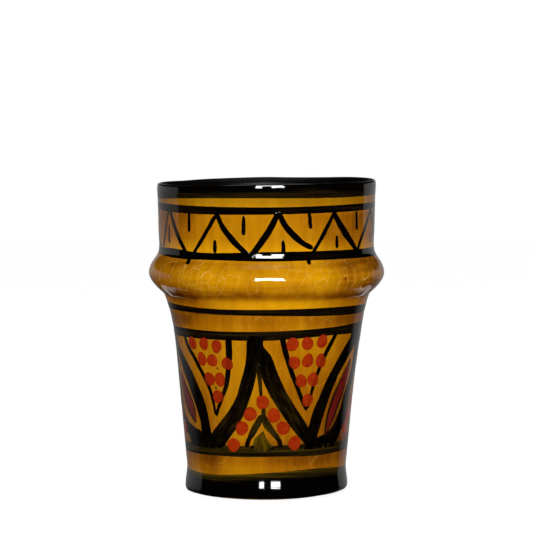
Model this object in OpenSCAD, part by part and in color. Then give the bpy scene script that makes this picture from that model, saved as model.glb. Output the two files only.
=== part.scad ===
// Painted tea cup with a collar: thrown in red clay, dipped in honey glaze, painted with a brush.
// It stands on z = 0 with its axis on Z, and its front faces -Y.
// The clay wall is one outline turned about the axis. Each coat of glaze and each painted
// solid grows outwards from that same outline, so that every layer lies on the one below.

/* [Outside form] */
// Height over the painted lip
cup_h = 101; // [94:0.5:115]
// Diameter of the mouth, over the glaze
mouth_d = 71; // [66:0.1:78]
// Diameter of the throat, over the glaze
throat_d = 70.1; // [66:0.1:76]
// Height of the throat above the collar's widest line
throat_rise = 8.4; // [7.5:0.1:10]
// Diameter of the collar, over the glaze
collar_d = 76.8; // [73:0.1:84]
// Distance from the lip down to the collar's widest line
collar_drop = 29.8; // [26:0.1:36]
// Depth of the groove below the collar's widest line
groove_drop = 5.9; // [4.5:0.1:8]
// Diameter in the groove, over the glaze
groove_d = 68.2; // [65:0.1:71]
// Diameter of the foot's waist, over the glaze
foot_waist_d = 52.1; // [48:0.1:56]
// Height of the foot's waist
foot_waist_z = 8.2; // [7:0.1:10]
// Diameter of the foot, over the glaze
foot_d = 53.2; // [50:0.1:58]
// Rounding of the foot's lower edge
foot_round = 1.6; // [1.2:0.1:2]

/* [Clay wall] */
// Thickness of the lip, over the glaze
lip_t = 3.2; // [2.6:0.1:4]
// Rounding of the lip's outer edge, over the glaze
lip_round = 0.7; // [0.6:0.1:1.4]
// Thickness of the clay at the throat
neck_t = 3; // [2.4:0.1:4]
// Thickness of the clay behind the groove
wall_t = 3.7; // [3:0.1:5]
// Thickness of the clay at the foot's waist
low_wall_t = 4.6; // [3.5:0.1:7]
// Thickness of the clay floor
floor_t = 5; // [3.5:0.1:8]
// Radius between the inside floor and wall
floor_fillet = 9; // [6:0.1:13]
// Depth of the hollow under the foot
recess_h = 2.2; // [1.5:0.1:4]
// Diameter of the hollow under the foot
recess_d = 38; // [32:0.1:42]
// Fillet in the corner of that hollow
recess_fillet = 1.2; // [0.6:0.1:1.4]
// Chamfer on the foot ring's inner edge
ring_chamfer = 0.6; // [0.3:0.1:1]

/* [Glaze] */
// Thickness of the honey glaze, outside and inside
glaze_t = 0.4; // [0.25:0.05:0.6]
// Height of the bare clay under the glaze's lower edge
bare_h = 0.4; // [0.3:0.1:1]

/* [Painted bands] */
// Thickness of the dark paint
paint_t = 0.12; // [0.08:0.01:0.2]
// Height of the dark band outside the lip
rim_band_h = 4.2; // [3:0.1:5.5]
// Height of the dark band inside the lip
rim_band_in_h = 5; // [3:0.1:8]
// Height of the dark band round the foot
foot_band_h = 8.5; // [6:0.1:10]
// Distance from the lip down to the upper neck line
neck_upper_drop = 6.9; // [6:0.1:8]
// Width of the upper neck line
neck_upper_w = 2.1; // [1.5:0.1:2.8]
// Height of the lower neck line above the collar's widest line
neck_lower_rise = 6.1; // [5:0.1:7]
// Width of the lower neck line
neck_lower_w = 2.2; // [1.5:0.1:2.8]
// Distance from the groove down to the upper waist line
waist_upper_drop = 3.6; // [3:0.1:6]
// Width of the upper waist line
waist_upper_w = 2.4; // [1.6:0.1:3.2]
// Gap between the two waist lines
waist_gap = 4.4; // [3:0.1:6]
// Width of the lower waist line
waist_lower_w = 2.8; // [1.8:0.1:3.6]
// Gap between the foot's band and the base line
base_gap = 5.8; // [4:0.1:8]
// Width of the base line
base_w = 3.3; // [2:0.1:4]

/* [Zigzag round the neck] */
// Number of teeth
teeth = 11; // [7:1:14]
// Turn of the first peak from the front, in degrees
teeth_turn = 5.9; // [-16:0.1:16]
// Width of the brush stroke
zigzag_w = 1.4; // [0.8:0.1:2]
// Width of the short ticks between the strokes
tick_w = 1.2; // [0.7:0.1:1.8]

/* [Painted panel] */
// Number of times that the panel's pattern repeats round the cup
panel_repeats = 2; // [1:1:3]
// Turn of the first arch from the front, in degrees
panel_turn = -3; // [-45:0.5:45]
// Width of the stem and of the small arch
stem_w = 1.2; // [0.7:0.1:1.8]
// Width of the pendants' strokes
pendant_w = 1.3; // [0.8:0.1:1.8]
// Diameter of the dots in the arches
arch_dot_d = 3.8; // [2.4:0.1:4.4]
// Diameter of the dots in the pendants
pendant_dot_d = 3.2; // [2:0.1:3.8]
// Thickness of the dots
dot_t = 0.2; // [0.14:0.01:0.3]
// Greatest width of a leaf's red filling
leaf_w = 3.4; // [2.4:0.1:4]
// Width of the dark line round the red filling
leaf_line_w = 0.6; // [0.4:0.1:1]
// Width of the bare glaze left round that line
leaf_margin_w = 1.2; // [0.8:0.1:1.6]

/* [Hidden] */
$fn = 96;

// Colours of the clay, the glaze and the paints
clay_colour = "#c08a62";
honey_colour = "#b8671c";
dark_colour = "#1c1510";
olive_colour = "#3d2c12";
orange_colour = "#c23d10";
red_colour = "#76181a";

// Points on each curve of the outline, and in each span of a brush stroke
curve_points = 8;
span_points = 3;

// Radii over the clay, under the glaze
mouth_r = mouth_d / 2 - glaze_t;
throat_r = throat_d / 2 - glaze_t;
collar_r = collar_d / 2 - glaze_t;
groove_r = groove_d / 2 - glaze_t;
foot_waist_r = foot_waist_d / 2 - glaze_t;
foot_r = foot_d / 2 - glaze_t;
recess_r = recess_d / 2;

// Distance from the axis to the flats that the painted motifs are drawn on
flat_share = 0.75;
flat_r = flat_share * foot_waist_r;

// Distance from the axis that those motifs reach out to, past every coat
reach_r = max(mouth_r, throat_r, collar_r, groove_r) + glaze_t + 2 * dot_t;

// Heights of the outline's main points
lip_top = cup_h - paint_t - glaze_t;
lip_out_r = lip_round - glaze_t;
lip_in_r = lip_t - 2 * glaze_t - lip_out_r;
lip_out_z = lip_top - lip_out_r;
lip_in_z = lip_top - lip_in_r;
collar_z = cup_h - collar_drop;
throat_z = collar_z + throat_rise;
groove_z = collar_z - groove_drop;
floor_z = recess_h + floor_t;

// Heights of the painted lines
rim_band_z = cup_h - rim_band_h;
rim_band_in_z = cup_h - rim_band_in_h;
neck_upper_z = cup_h - neck_upper_drop - neck_upper_w;
neck_lower_z = collar_z + neck_lower_rise;
zigzag_z = neck_lower_z + neck_lower_w;
zigzag_h = neck_upper_z - zigzag_z;
waist_upper_z = groove_z - waist_upper_drop - waist_upper_w;
waist_lower_z = waist_upper_z - waist_gap - waist_lower_w;
base_z = foot_band_h + base_gap;
panel_z = base_z + base_w;
panel_h = waist_lower_z - panel_z;

// The two handles of each curve of the outside, as shares of the curve's height and of its
// change of radius: up from the foot, up the body, out round the collar and in to the throat
foot_handle_shares = [[0.35, 0], [0.65, 1]];
body_handle_shares = [[0.6, 0.4], [0.9, 0.56]];
collar_low_handle_shares = [[0.3, 0.5], [0.7, 1]];
collar_high_handle_shares = [[0.45, 0], [0.6, 1]];

// The same for the inside: behind the body, and behind the collar
well_handle_shares = [[0.35, 0.28], [0.7, 0.62]];
collar_in_handle_shares = [[0.3, 0.55], [0.6, 1]];

// A point of the panel is given as two shares: across from an arch's middle to the middle of
// the next one, and up from the base line to the waist line

// The inner and outer edge of the arch at the front, from the crotch and apex down to the foot
arch_inner_shares = [[0, 0.79], [0.028, 0.64], [0.07, 0.49], [0.12, 0.34], [0.2, 0.18], [0.33, -0.03]];
arch_outer_shares = [[0.055, 1.03], [0.095, 0.79], [0.148, 0.61], [0.2, 0.43], [0.275, 0.29],
    [0.39, 0.11], [0.47, -0.03]];

// The broad flank of the arch at the side: its edge by the pendant, and its edge by the field
flank_outer_shares = [[0.79, 1.03], [0.655, 0.82], [0.53, 0.61], [0.45, 0.44], [0.405, 0.3],
    [0.365, 0.16], [0.29, -0.03]];
flank_inner_shares = [[1, 0.66], [0.955, 0.52], [0.9, 0.42], [0.835, 0.28], [0.76, 0.15],
    [0.66, -0.03]];

// Two points just past the side arch's middle, where its two flanks run into each other
flank_join_shares = [[1.02, 0.66], [1.02, 1.03]];

// How far across the flats are on which a flank and a pendant are drawn
flank_mid_share = 0.64;
pendant_mid_share = 0.36;

// The line down the middle of a leaf, from its tip, and its width there as a share of leaf_w
leaf_spine_shares = [[0.76, 0.77], [0.73, 0.68], [0.69, 0.55], [0.65, 0.42], [0.6, 0.27],
    [0.555, 0.13]];
leaf_width_shares = [0.12, 0.7, 1, 0.95, 0.75, 0.2];

// The stem in an arch, the small arch's leg, and the doorway's side
stem_shares = [[0, 0.82], [0.008, 0.65], [0, 0.48]];
drop_stem_shares = [[0, 0.37], [0, 0.27]];
small_arch_shares = [[0, 0.275], [0.035, 0.21], [0.075, 0.12], [0.12, -0.03]];
doorway_shares = [[0, 0.135], [0.035, 0.07], [0.075, -0.03]];

// The pendant's two strokes, from the waist line to the tip
pendant_inner_shares = [[0.175, 1.03], [0.205, 0.83], [0.235, 0.64], [0.28, 0.48], [0.345, 0.3]];
pendant_outer_shares = [[0.585, 1.03], [0.515, 0.85], [0.455, 0.7], [0.39, 0.5], [0.335, 0.3]];

// The middles of the dots in an arch and in a pendant
arch_dot_shares = [[0, 0.42], [0.09, 0.295], [0.155, 0.175], [0.225, 0.065]];
pendant_dot_shares = [[0.262, 0.935], [0.375, 0.935], [0.485, 0.935], [0.272, 0.78], [0.36, 0.79],
    [0.44, 0.78], [0.298, 0.62], [0.377, 0.615], [0.34, 0.44]];

// The zigzag's stroke and the ticks: across as shares of a tooth, up as shares of the zigzag
zigzag_shares = [[-0.02, 1.02], [0.13, 0.72], [0.29, 0.36], [0.52, -0.06]];
high_tick_shares = [[0.49, 1.05], [0.5, 0.75], [0.51, 0.54]];
low_tick_shares = [[0, 0.42], [0.01, 0.24], [0.03, 0.09]];
tick_width_shares = [1, 0.85, 0.3];

// Angle from an arch at the front to the arch at the side, and from tooth to tooth
field_turn = 180 / panel_repeats;
tooth_turn = 360 / teeth;

// Angles that the arches at the front and all the arches face
front_turns = [for (i = [0:panel_repeats - 1]) panel_turn + 2 * i * field_turn];
arch_turns = [for (i = [0:2 * panel_repeats - 1]) panel_turn + i * field_turn];

// Sides of a motif that is painted twice, the second time in mirror image
SIDES = [-1, 1];

// Lists and curves

function reversed(list) = [for (i = [len(list) - 1:-1:0]) list[i]];
function last(list) = list[len(list) - 1];
function unit(v) = v / norm(v);

// Points after p on a curve to q, whose handles are shares of the way [up, out]
function curve(p, q, handle_shares) =
    let (
        way = q - p,
        a = p + [way.x * handle_shares[0].y, way.y * handle_shares[0].x],
        b = p + [way.x * handle_shares[1].y, way.y * handle_shares[1].x]
    )
    [for (i = [1:curve_points]) let (t = i / curve_points, s = 1 - t)
        p * s * s * s + a * 3 * s * s * t + b * 3 * s * t * t + q * t * t * t];

// Points after the first on an arc about a middle
function arc(middle, r, from, to) =
    [for (i = [1:curve_points]) let (a = from + (to - from) * i / curve_points)
        middle + r * [cos(a), sin(a)]];

// One point of a smooth line through hand-set points, a share t past the point i
function between(points, i, t) =
    let (
        a = points[max(i - 1, 0)],
        b = points[i],
        c = points[i + 1],
        d = points[min(i + 2, len(points) - 1)]
    )
    (b * 2 + (c - a) * t + (a * 2 - b * 5 + c * 4 - d) * t * t + (b * 3 - a - c * 3 + d) * t * t * t) / 2;

function smooth(points) = concat(
    [for (i = [0:len(points) - 2], k = [0:span_points - 1]) between(points, i, k / span_points)],
    [last(points)]
);

// Right-hand side of a direction, which is the outside of a wall whose outline runs up the
// outside and down the inside
function right_of(v) = unit([v.y, -v.x]);

// Direction and length of the step from a point to the outline that lies one unit further out
function step_out(points, i) =
    let (
        n = len(points) - 1,
        a = right_of(points[max(i, 1)] - points[max(i, 1) - 1]),
        b = right_of(points[min(i + 1, n)] - points[min(i, n - 1)])
    )
    (a + b) / (1 + a * b);

// The same outline with a coat of thickness t on it
function coated(points, t) = [for (i = [0:len(points) - 1]) points[i] + step_out(points, i) * t];

// The clay's outline

foot_points = concat(
    [[foot_r - foot_round, 0]],
    arc([foot_r - foot_round, foot_round], foot_round, -90, 0)
);
foot_to_waist = curve([foot_r, foot_round], [foot_waist_r, foot_waist_z], foot_handle_shares);
body_points = curve([foot_waist_r, foot_waist_z], [groove_r, groove_z], body_handle_shares);
collar_low_points = curve([groove_r, groove_z], [collar_r, collar_z], collar_low_handle_shares);
collar_high_points = curve([collar_r, collar_z], [throat_r, throat_z], collar_high_handle_shares);
lip_out_points = arc([mouth_r - lip_out_r, lip_out_z], lip_out_r, 0, 90);
out_points = concat(
    foot_points, foot_to_waist, body_points, collar_low_points, collar_high_points,
    [[mouth_r, lip_out_z]], lip_out_points
);

well_r = foot_waist_r - low_wall_t;
well_top_r = groove_r - wall_t;
neck_in_r = throat_r - neck_t;
lip_in_points = arc([mouth_r - lip_out_r, lip_in_z], lip_in_r, 90, 180);
collar_in_points = reversed(curve([well_top_r, groove_z], [neck_in_r, throat_z], collar_in_handle_shares));
well_points = reversed(curve([well_r, floor_z + floor_fillet], [well_top_r, groove_z], well_handle_shares));
in_points = concat(
    lip_in_points, collar_in_points, well_points, [[well_r, floor_z + floor_fillet]],
    arc([well_r - floor_fillet, floor_z + floor_fillet], floor_fillet, 0, -90), [[0, floor_z]]
);

clay_points = concat(out_points, in_points);
lip_at = len(out_points) - 1;
glaze_points = coated(clay_points, glaze_t);

// Part of an outline outside the cup, or inside it, above a height
function outside(points) = [for (i = [0:lip_at]) points[i]];
function inside(points) = [for (i = [lip_at:len(points) - 1]) points[i]];
function r_at(points, z) = lookup(z, [for (p = points) [p.y, p.x]]);
function above(points, z) = concat([[r_at(points, z), z]], [for (p = points) if (p.y > z) p]);
function slice(points, z, top) = concat(
    [[r_at(points, z), z]], [for (p = points) if (p.y > z && p.y < top) p], [[r_at(points, top), top]]
);

// Coats

// A coat on the outside of the glaze, between two heights
module painted_ring(z, top, t) {
    under = outside(glaze_points);
    over = outside(coated(glaze_points, t));
    rotate_extrude() polygon(concat(slice(over, z, top), reversed(slice(under, z, top))));
}

// A flat drawing, across on X and up on Y, that reaches outwards through the wall at an angle
module facing(angle) {
    rotate([0, 0, angle]) rotate([90, 0, 0]) translate([0, 0, flat_r])
        linear_extrude(height = reach_r - flat_r) children();
}

// A brush stroke down a line of points, with a width at each point
function brushed(points, widths) =
    let (n = len(points) - 1, half = [for (i = [0:n]) step_out(points, i) * widths[i] / 2])
    concat([for (i = [0:n]) points[i] + half[i]], [for (i = [n:-1:0]) points[i] - half[i]]);
function even(points, w) = [for (p = points) w];

// A point of the panel, drawn on the flat that faces a share of the way across
function on_panel(share, mid_share) =
    let (z = panel_z + share.y * panel_h)
    [r_at(outside(glaze_points), z) * sin((share.x - mid_share) * field_turn), z];
function panel_line(shares, mid_share) = smooth([for (s = shares) on_panel(s, mid_share)]);

// The left-hand line of a drawing that is the same on both sides of its middle
function mirrored(points) = [for (p = reversed(points)) if (p.x > 0) [-p.x, p.y]];

// Values spread evenly over n points of a line
function along(values, n) =
    let (last_i = len(values) - 1)
    [for (i = [0:n - 1]) lookup(i * last_i / (n - 1), [for (k = [0:last_i]) [k, values[k]]])];

// A line made longer at both ends
function extended(points, d) = concat(
    [points[0] + unit(points[0] - points[1]) * d],
    points,
    [last(points) + unit(last(points) - points[len(points) - 2]) * d]
);

// The clay and its two coats of glaze

module clay_body() {
    color(clay_colour) rotate_extrude() polygon(concat(
        clay_points,
        [[0, recess_h], [recess_r - recess_fillet, recess_h]],
        arc([recess_r - recess_fillet, recess_h - recess_fillet], recess_fillet, 90, 0),
        [[recess_r, ring_chamfer], [recess_r + ring_chamfer, 0]]
    ));
}

module outer_glaze() {
    color(honey_colour) rotate_extrude() polygon(concat(
        above(outside(glaze_points), bare_h), reversed(above(outside(clay_points), bare_h))
    ));
}

module lining_glaze() {
    color(honey_colour) rotate_extrude()
        polygon(concat(inside(glaze_points), reversed(inside(clay_points))));
}

// Bands and lines painted while the cup turns on the wheel

function over_lip(points) = concat(
    above(outside(points), rim_band_z), reversed(above(reversed(inside(points)), rim_band_in_z))
);

module rim_band() {
    color(dark_colour) rotate_extrude()
        polygon(concat(over_lip(coated(glaze_points, paint_t)), reversed(over_lip(glaze_points))));
}

module foot_band() {
    color(dark_colour) painted_ring(bare_h, foot_band_h, paint_t);
}

module neck_line_upper() {
    color(dark_colour) painted_ring(neck_upper_z, neck_upper_z + neck_upper_w, paint_t);
}

module neck_line_lower() {
    color(dark_colour) painted_ring(neck_lower_z, zigzag_z, paint_t);
}

module waist_line_upper() {
    color(dark_colour) painted_ring(waist_upper_z, waist_upper_z + waist_upper_w, paint_t);
}

module waist_line_lower() {
    color(dark_colour) painted_ring(waist_lower_z, waist_lower_z + waist_lower_w, paint_t);
}

module base_line() {
    color(dark_colour) painted_ring(base_z, panel_z, paint_t);
}

// Border round the neck

// A point of the border, drawn on the flat that faces the middle of a tooth
function on_border(share) =
    let (z = zigzag_z + share.y * zigzag_h)
    [r_at(outside(glaze_points), z) * sin(share.x * tooth_turn), z];
function border_line(shares) = smooth([for (s = shares) on_border(s)]);

// Paint of the border, drawn once for each tooth
module border_paint() {
    intersection() {
        painted_ring(zigzag_z, neck_upper_z, paint_t);
        for (i = [0:teeth - 1]) facing(teeth_turn + i * tooth_turn) children();
    }
}

module zigzag_border() {
    line = border_line(zigzag_shares);
    stroke = brushed(line, even(line, zigzag_w));
    color(dark_colour) border_paint() {
        polygon(stroke);
        mirror([1, 0]) polygon(stroke);
    }
}

module tick_marks() {
    color(dark_colour) border_paint() for (shares = [high_tick_shares, low_tick_shares]) {
        line = border_line(shares);
        polygon(brushed(line, along(tick_width_shares, len(line)) * tick_w));
    }
}

// Panel round the body

module panel_paint(t) {
    intersection() {
        painted_ring(panel_z, waist_lower_z, t);
        union() children();
    }
}

// Dots on both sides of each turn
module dots(turns, shares, d) {
    for (turn = turns, s = shares, side = s.x > 0 ? SIDES : [1])
        facing(turn + side * s.x * field_turn) translate([0, panel_z + s.y * panel_h]) circle(d = d);
}

// A drawing on both sides of each front arch, on a flat that faces a share of the way across
module each_side(mid_share) {
    for (turn = front_turns) {
        facing(turn + mid_share * field_turn) children();
        facing(turn - mid_share * field_turn) mirror([1, 0]) children();
    }
}

module leaf(grow) {
    line = panel_line(leaf_spine_shares, flank_mid_share);
    spine = grow > 0 ? extended(line, grow) : line;
    widths = along(leaf_width_shares, len(spine)) * leaf_w;
    polygon(brushed(spine, [for (w = widths) w + 2 * grow]));
}

module arch_strokes() {
    inner = panel_line(arch_inner_shares, 0);
    outer = panel_line(arch_outer_shares, 0);
    right = concat(outer, reversed(inner));
    stem = panel_line(stem_shares, 0);
    flank_outer = panel_line(flank_outer_shares, flank_mid_share);
    flank_inner = panel_line(flank_inner_shares, flank_mid_share);
    flank_join = panel_line(flank_join_shares, flank_mid_share);
    color(dark_colour) difference() {
        panel_paint(paint_t) {
            for (turn = front_turns) facing(turn) polygon(concat(right, mirrored(right)));
            each_side(flank_mid_share) polygon(concat(flank_outer, reversed(flank_inner), flank_join));
            for (turn = arch_turns) facing(turn) polygon(brushed(stem, even(stem, stem_w)));
        }
        each_side(flank_mid_share) leaf(leaf_line_w + leaf_margin_w);
        dots(arch_turns, arch_dot_shares, arch_dot_d);
    }
}

module doorways() {
    right = panel_line(small_arch_shares, 0);
    leg = brushed(right, even(right, stem_w));
    stem = panel_line(drop_stem_shares, 0);
    door = panel_line(doorway_shares, 0);
    color(olive_colour) difference() {
        panel_paint(paint_t) for (turn = arch_turns) facing(turn) {
            polygon(leg);
            mirror([1, 0]) polygon(leg);
            polygon(brushed(stem, even(stem, stem_w)));
            polygon(concat(mirrored(door), door));
        }
        dots(arch_turns, arch_dot_shares, arch_dot_d);
    }
}

module arch_dots() {
    color(orange_colour) panel_paint(dot_t) dots(arch_turns, arch_dot_shares, arch_dot_d);
}

module pendant_strokes() {
    inner = panel_line(pendant_inner_shares, pendant_mid_share);
    outer = panel_line(pendant_outer_shares, pendant_mid_share);
    color(dark_colour) difference() {
        panel_paint(paint_t) each_side(pendant_mid_share) {
            polygon(brushed(inner, even(inner, pendant_w)));
            polygon(brushed(outer, even(outer, pendant_w)));
        }
        dots(front_turns, pendant_dot_shares, pendant_dot_d);
    }
}

module pendant_dots() {
    color(orange_colour) panel_paint(dot_t) dots(front_turns, pendant_dot_shares, pendant_dot_d);
}

module leaf_outlines() {
    color(dark_colour) panel_paint(paint_t) each_side(flank_mid_share) difference() {
        leaf(leaf_line_w);
        leaf(0);
    }
}

module leaf_fills() {
    color(red_colour) panel_paint(paint_t) each_side(flank_mid_share) leaf(0);
}

clay_body();
outer_glaze();
lining_glaze();
rim_band();
neck_line_upper();
zigzag_border();
tick_marks();
neck_line_lower();
waist_line_upper();
waist_line_lower();
arch_strokes();
doorways();
arch_dots();
pendant_strokes();
pendant_dots();
leaf_outlines();
leaf_fills();
base_line();
foot_band();
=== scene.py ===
# A painted Moroccan tea cup, put together in the potter's order: thrown in clay, dipped in honey
# glaze, banded with dark paint while it turns on the wheel, and then painted freehand with a brush.
# Lengths are metres. Angles are degrees from the front, which faces -Y, and they grow to the right.
import math
import random

import bpy
import numpy as np
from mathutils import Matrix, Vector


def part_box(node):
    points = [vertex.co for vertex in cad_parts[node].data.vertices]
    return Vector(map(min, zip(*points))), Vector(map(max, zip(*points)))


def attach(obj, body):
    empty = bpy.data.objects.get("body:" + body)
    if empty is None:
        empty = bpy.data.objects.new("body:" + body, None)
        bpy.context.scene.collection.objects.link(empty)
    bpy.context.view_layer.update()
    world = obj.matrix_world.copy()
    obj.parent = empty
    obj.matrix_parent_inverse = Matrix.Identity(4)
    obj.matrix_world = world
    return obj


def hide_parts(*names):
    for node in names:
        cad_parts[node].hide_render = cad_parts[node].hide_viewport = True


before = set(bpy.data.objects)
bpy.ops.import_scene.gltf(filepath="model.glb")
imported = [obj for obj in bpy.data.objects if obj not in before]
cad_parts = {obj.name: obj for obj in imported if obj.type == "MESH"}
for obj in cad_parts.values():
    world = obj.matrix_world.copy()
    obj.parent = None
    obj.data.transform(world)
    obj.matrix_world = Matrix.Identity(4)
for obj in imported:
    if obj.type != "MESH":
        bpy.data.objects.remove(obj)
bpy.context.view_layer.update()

mm = 0.001
hand = random.Random(11)


# The clay body
# The cup is thrown in red clay, in one piece from lip to foot, and the hollow under it is turned
# out when the clay is leather hard. Only the foot ring and the hollow stay bare. No hand throws
# true: the rim climbs, the collar dips in front, the body leans and one side of the foot is worn.
segments = 192
edge_points = 1200
seam = 1e-6
smooth_below = math.radians(40)
collar_dip = 0.7 * mm
dip_by_height = {57: 0, 59: 0.15, 61: 0.85, 63: 1, 77: 1, 81: 1.9, 83: 1.9, 85: 1.7, 90: 0.2, 92: 0}
lean = 0.35 * mm
lean_height = 52 * mm
lean_spread = 11.5 * mm
oval = 0.1 * mm
oval_phase = 0.6
oval_twist = 30
worn_depth = 0.38 * mm
worn_height = 3.2 * mm
worn_from = 21.5 * mm
worn_turn = math.radians(75)
worn_lift = 1.5
clay_light = (0.46, 0.24, 0.12, 1)
clay_deep = (0.38, 0.17, 0.085, 1)
speck_colour = (0.12, 0.06, 0.03, 1)
edge_dark_colour = (0.012, 0.008, 0.005, 1)
clay_roughness = 0.82
clay_bump = 0.12 * mm
turning_pitch = 0.9 * mm
turning_share = 0.35
edge_dark_starts = 23.2 * mm
edge_dark_full = 24.2 * mm
edge_dark_wander = 1.5 * mm
edge_dark_height = 1.4 * mm


def corners(node):
    """The corners of a turned CAD node's outline at Y = 0, as (radius, height)."""
    found = set()
    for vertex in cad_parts[node].data.vertices:
        x, y, z = vertex.co
        if abs(y) < seam and x > -seam:
            found.add((round(x, 6), round(z, 6)))
    return found


clay_corners = corners("clay_body")
outer_corners = corners("outer_glaze")
lining_corners = corners("lining_glaze")
collar_height = max(outer_corners)[1]
lip_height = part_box("rim_band")[1].z


def rising(points):
    return sorted(points, key=lambda point: (point[1], -point[0]))


def outwards(points):
    return sorted(points, key=lambda point: (point[0], -point[1]))


def flowing(points, count):
    """A smooth line through the points, as so many evenly spaced ones."""
    points = np.asarray(points, float)
    reach = np.concatenate([[0], np.cumsum(np.linalg.norm(np.diff(points, axis=0), axis=1))])
    gaps = np.diff(reach)[:, None]
    slopes = np.diff(points, axis=0) / gaps
    inner = (slopes[:-1] * gaps[1:] + slopes[1:] * gaps[:-1]) / (gaps[1:] + gaps[:-1])
    slopes = np.vstack([slopes[:1], inner, slopes[-1:]])
    at = np.linspace(0, reach[-1], count)
    k = np.clip(np.searchsorted(reach, at, "right") - 1, 0, len(gaps) - 1)
    gap = gaps[k]
    t = (at - reach[k])[:, None] / gap
    near = (1 + 2 * t) * (1 - t) ** 2 * points[k] + t * (1 - t) ** 2 * gap * slopes[k]
    return near + t ** 2 * (3 - 2 * t) * points[k + 1] + t ** 2 * (t - 1) * gap * slopes[k + 1]


def round_the_cup(heights):
    """Given (angle, height in mm) points of a ring's edge, joined smoothly all the way round."""
    angles, heights = np.asarray(heights, float).T
    angles = np.concatenate([angles - 360, angles, angles + 360])
    line = flowing(np.stack([angles, np.tile(heights, 3)], axis=1), edge_points)
    return lambda angle: np.interp(angle, line[:, 0], line[:, 1]) * mm


rim_rise = round_the_cup([
    (-166, 0.17), (-155, 0.03), (-143, -0.14), (-128, -0.42), (-112, -0.42), (-90, -0.5),
    (-60, -0.7), (-30, -0.3), (0, 0.32), (30, 0.3), (60, 0.25), (90, 0.65), (110, 0.8),
    (129, 0.76), (144, 0.48), (156, 0.32), (167, 0.27), (180, 0.33),
])


def hand_lift(angle, height):
    """How far the potter's hand lifted or pressed down a point of the true shape."""
    share = np.clip((height - collar_height) / (lip_height - collar_height), 0, 1)
    pressed = np.interp(height / mm, list(dip_by_height), list(dip_by_height.values()))
    return share * rim_rise(angle) - collar_dip * pressed * np.clip(np.cos(np.radians(angle)), 0, 1)


def thrown(angle, radius, height):
    """Where a point of the true shape ends up on the hand-thrown cup."""
    turn = np.radians(angle)
    leaning = lean * np.sin(turn) * np.exp(-((height - lean_height) / lean_spread) ** 2)
    uneven = oval * np.sin(2 * turn + oval_phase + oval_twist * height) + leaning
    worn = np.clip(np.cos(turn - worn_turn), 0, 1) ** 3
    worn = worn * np.clip(1 - height / worn_height, 0, 1) ** 2
    worn = worn * np.clip((radius - worn_from) / worn_height, 0, 1)
    radius = radius + uneven * np.clip(radius / collar_height * 3, 0, 1) - worn_depth * worn
    height = height + hand_lift(angle, height) + worn_lift * worn_depth * worn
    return np.stack([radius * np.sin(turn), -radius * np.cos(turn), height], axis=-1)


def vertices_of(piece):
    flat = np.empty(len(piece.data.vertices) * 3)
    piece.data.vertices.foreach_get("co", flat)
    return flat.reshape(-1, 3)


def move_vertices(piece, places):
    piece.data.vertices.foreach_set("co", np.asarray(places, float).ravel())
    piece.data.update()


def turned(name, outline):
    """A closed outline of (radius, height) points, spun once round on the wheel."""
    bpy.ops.object.select_all(action="DESELECT")
    bpy.ops.mesh.primitive_circle_add(vertices=len(outline), radius=collar_height)
    piece = bpy.context.object
    piece.name = piece.data.name = name
    move_vertices(piece, [(radius, 0, height) for radius, height in outline])
    bpy.ops.object.mode_set(mode="EDIT")
    bpy.ops.mesh.select_all(action="SELECT")
    bpy.ops.mesh.spin(steps=segments, angle=math.tau, center=(0, 0, 0), axis=(0, 0, 1))
    bpy.ops.mesh.select_all(action="SELECT")
    bpy.ops.mesh.remove_doubles(threshold=seam)
    bpy.ops.mesh.delete_loose(use_verts=True, use_edges=True, use_faces=False)
    bpy.ops.mesh.select_all(action="SELECT")
    bpy.ops.mesh.normals_make_consistent(inside=False)
    bpy.ops.object.mode_set(mode="OBJECT")
    x, y, z = vertices_of(piece).T
    move_vertices(piece, thrown(np.degrees(np.arctan2(x, -y)), np.hypot(x, y), z))
    bpy.ops.object.shade_smooth_by_angle(angle=smooth_below)
    return piece


def finished(piece, material, slot, *nodes):
    """The piece gets its finish and hangs from the root, and the CAD nodes that it replaces are
    hidden.
    """
    piece.data.materials.clear()
    piece.data.materials.append(material)
    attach(piece, "root")
    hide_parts(*nodes)


def join(tree, socket, value):
    """A socket takes a number, a colour or another node's output."""
    if isinstance(value, bpy.types.NodeSocket):
        tree.links.new(value, socket)
    else:
        socket.default_value = value


def add(tree, kind, settings=None, **inputs):
    made = tree.nodes.new("ShaderNode" + kind)
    for name, value in (settings or {}).items():
        setattr(made, name, value)
    for name, value in inputs.items():
        join(tree, made.inputs[name.replace("_", " ")], value)
    return made


def mixed(tree, share, low, high):
    """A colour that goes from low to high as the share goes from 0 to 1."""
    made = tree.nodes.new("ShaderNodeMix")
    made.data_type = "RGBA"
    join(tree, made.inputs[0], share)
    join(tree, made.inputs[6], low)
    join(tree, made.inputs[7], high)
    return made.outputs[2]


def worked(tree, operation, *values):
    made = tree.nodes.new("ShaderNodeMath")
    made.operation = operation
    for socket, value in zip(made.inputs, values):
        join(tree, socket, value)
    return made.outputs[0]


def plus(tree, total, *others):
    for value in others:
        total = worked(tree, "ADD", total, value)
    return total


def times(tree, product, *others):
    for value in others:
        product = worked(tree, "MULTIPLY", product, value)
    return product


def ranged(tree, value, low, high, to_low=0.0, to_high=1.0):
    """A value eased from one range to another, and held at its ends."""
    made = add(tree, "MapRange", {"interpolation_type": "SMOOTHSTEP"}, Value=value,
               From_Min=low, From_Max=high, To_Min=to_low, To_Max=to_high)
    return made.outputs["Result"]


def noise(tree, place, scale, detail=2.0, roughness=0.5):
    made = add(tree, "TexNoise", Vector=place, Scale=scale, Detail=detail, Roughness=roughness)
    return made.outputs[0]


def stretched(tree, place, x, y, z):
    """The same places, with a pattern drawn out along the axes that are scaled down."""
    return add(tree, "Mapping", Vector=place, Scale=(x, y, z)).outputs[0]


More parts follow.
